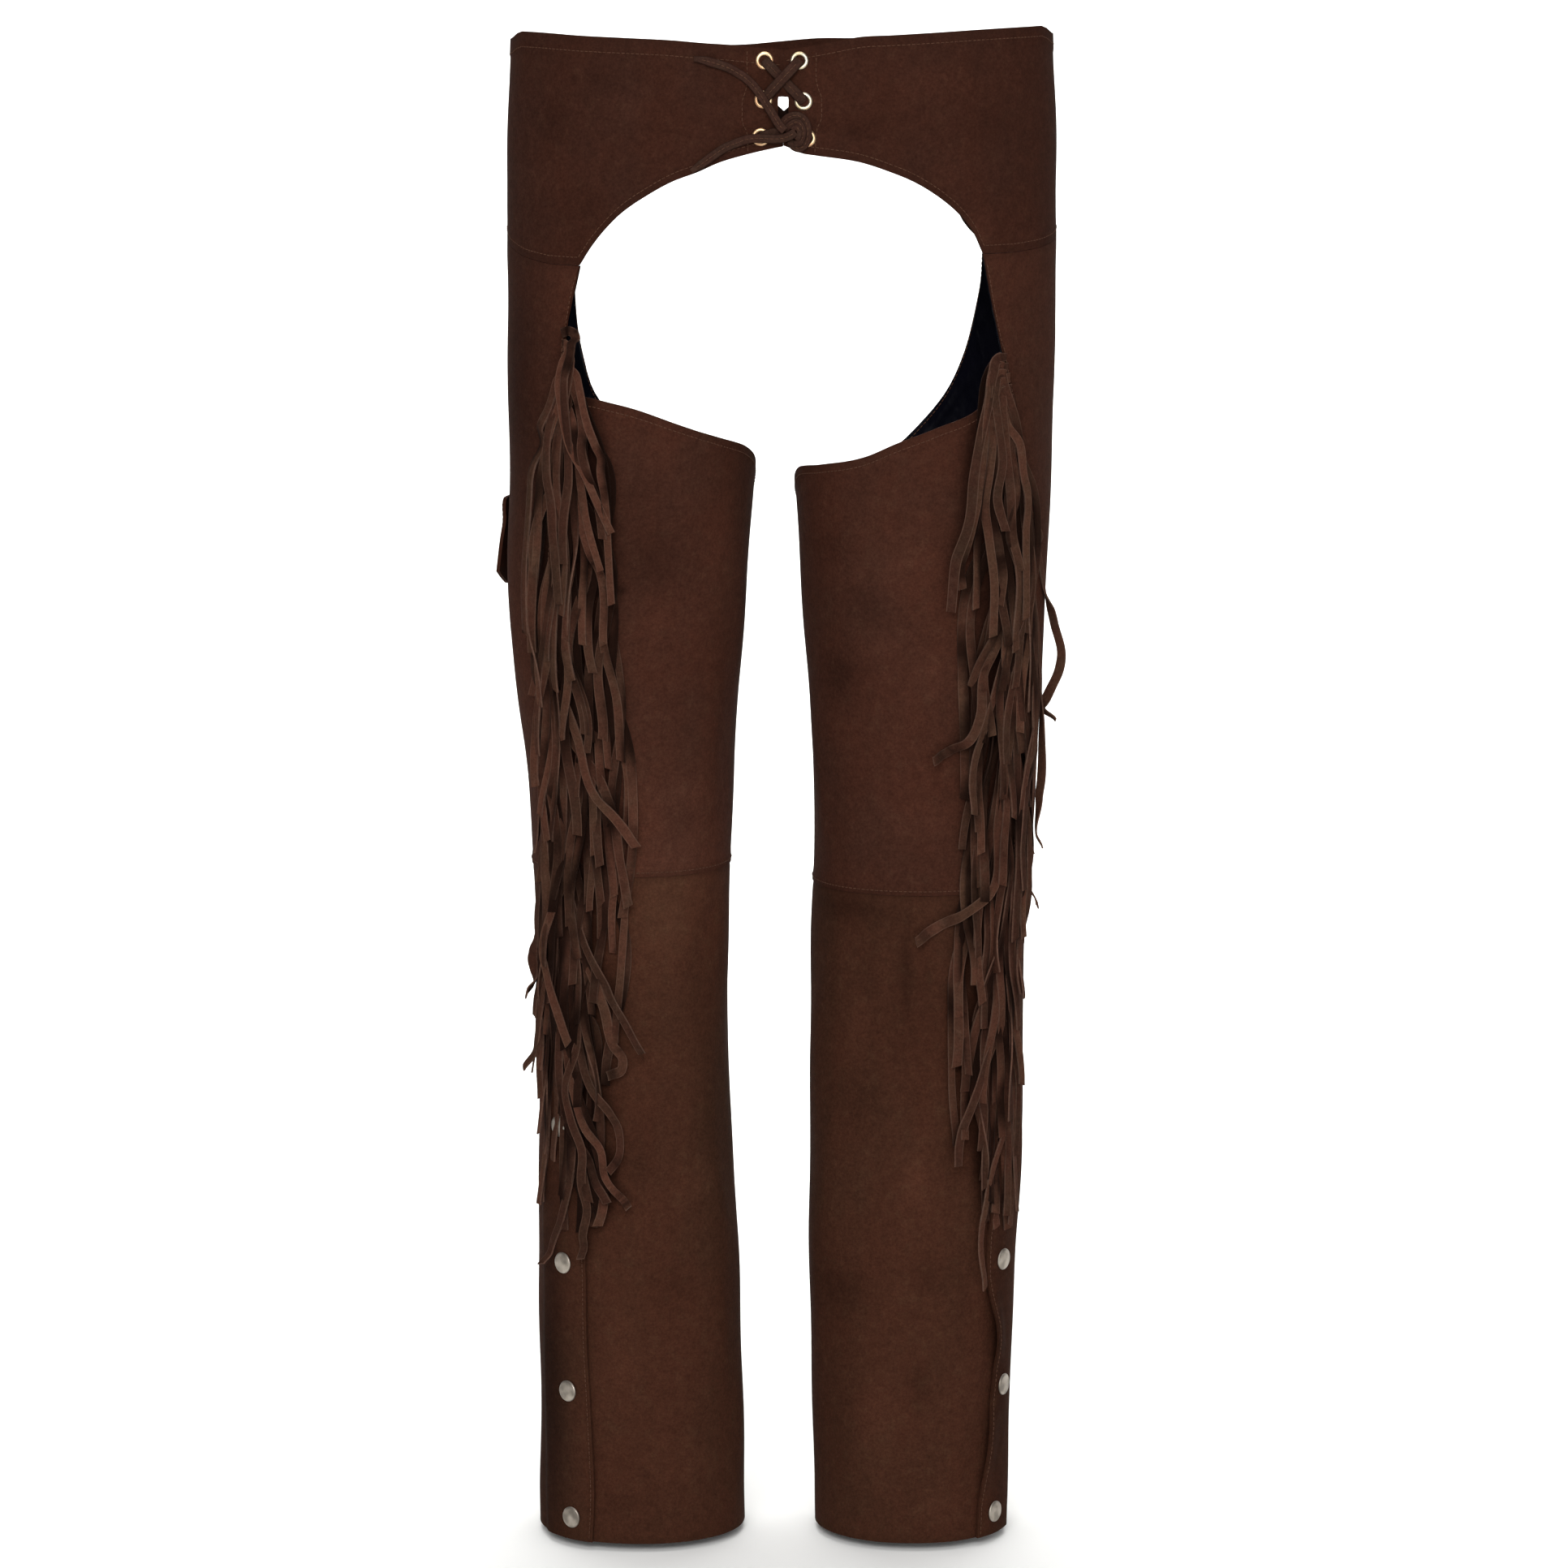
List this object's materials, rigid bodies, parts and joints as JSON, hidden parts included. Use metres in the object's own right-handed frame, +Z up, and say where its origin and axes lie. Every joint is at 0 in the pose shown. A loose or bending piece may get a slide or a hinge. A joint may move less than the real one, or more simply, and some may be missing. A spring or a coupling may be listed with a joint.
{
  "type": "leather chaps",
  "caption": "Full-length suede chaps in worn form: yoke laced at the centre back, open seat and front, fringed outer seams, snap-flap calves, patch pocket on one thigh.",
  "frame": {"origin": "middle of the waist opening at the height of the yoke's top edge, where a wearer holds the part up", "axes": "+Z up from the hems to the waist; the laced back faces -Y and the open front +Y; +X is to the viewer's right from behind, the wearer's right"},
  "size_m": [0.3896, 0.2344, 1.049],
  "materials": {
    "brown_suede": "dark brown suede, napped and mottled",
    "black_lining": "smooth near-black lining cloth",
    "antique_nickel": "antique nickel",
    "pale_brass": "pale polished brass",
    "lace_suede": "brown suede lace with a stitched centre"
  },
  "bodies": {
    "root": {"yoke_left": "brown_suede", "front_upper_left": "brown_suede", "front_lower_left": "brown_suede", "back_upper_left": "brown_suede", "back_lower_left": "brown_suede", "lining_left": "black_lining", "fringe_left": "brown_suede", "snap_left_1": "antique_nickel", "snap_left_2": "antique_nickel", "snap_left_3": "antique_nickel", "snap_left_4": "antique_nickel", "eyelet_left_1": "pale_brass", "eyelet_left_2": "pale_brass", "eyelet_left_3": "pale_brass", "yoke_right": "brown_suede", "front_upper_right": "brown_suede", "front_lower_right": "brown_suede", "back_upper_right": "brown_suede", "back_lower_right": "brown_suede", "lining_right": "black_lining", "fringe_right": "brown_suede", "snap_right_1": "antique_nickel", "snap_right_2": "antique_nickel", "snap_right_3": "antique_nickel", "snap_right_4": "antique_nickel", "eyelet_right_1": "pale_brass", "eyelet_right_2": "pale_brass", "eyelet_right_3": "pale_brass", "lace": "lace_suede", "lace_knot": "lace_suede", "lace_end_upper": "lace_suede", "lace_end_lower": "lace_suede", "pocket": "brown_suede", "pocket_flap": "brown_suede"}
  },
  "joints": []
}
